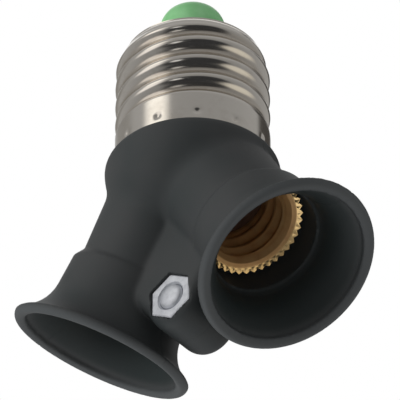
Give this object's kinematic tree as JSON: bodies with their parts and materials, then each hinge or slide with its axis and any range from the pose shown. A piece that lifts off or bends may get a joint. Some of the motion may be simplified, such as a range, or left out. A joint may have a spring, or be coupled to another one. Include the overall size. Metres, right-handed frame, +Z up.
{
  "type": "lamp socket adapter",
  "caption": "Y-shaped lamp socket adapter: a rolled screw base feeds two smaller threaded sockets with flared mouths in a clamped black housing.",
  "frame": {"origin": "centre of the housing shoulder that the screw shell sits on", "axes": "+Z up the screw shell towards the tip contact, X across the two arms, -Y the front with the clamp nut"},
  "size_m": [0.0656, 0.0316, 0.0719],
  "materials": {
    "nickel": "nickel-plated rolled sheet, bright",
    "green_plastic": "satin moulded",
    "brass": "bright rolled brass, slightly toned",
    "housing": "fine matte moulded black",
    "steel": "zinc-plated",
    "phenolic": "dull brown board"
  },
  "bodies": {
    "root": {"screw_shell": "nickel", "tip_insulator": "green_plastic", "tip_contact": "nickel", "line_strip": "brass", "front_half": "housing", "rear_half": "housing", "clamp_screw": "steel", "clamp_nut": "steel", "left_sleeve": "brass", "left_contact_base": "phenolic", "left_contact_tongue": "brass", "left_contact_rivet": "brass", "left_neutral_strip": "brass", "right_sleeve": "brass", "right_contact_base": "phenolic", "right_contact_tongue": "brass", "right_contact_rivet": "brass", "right_neutral_strip": "brass"}
  },
  "joints": []
}
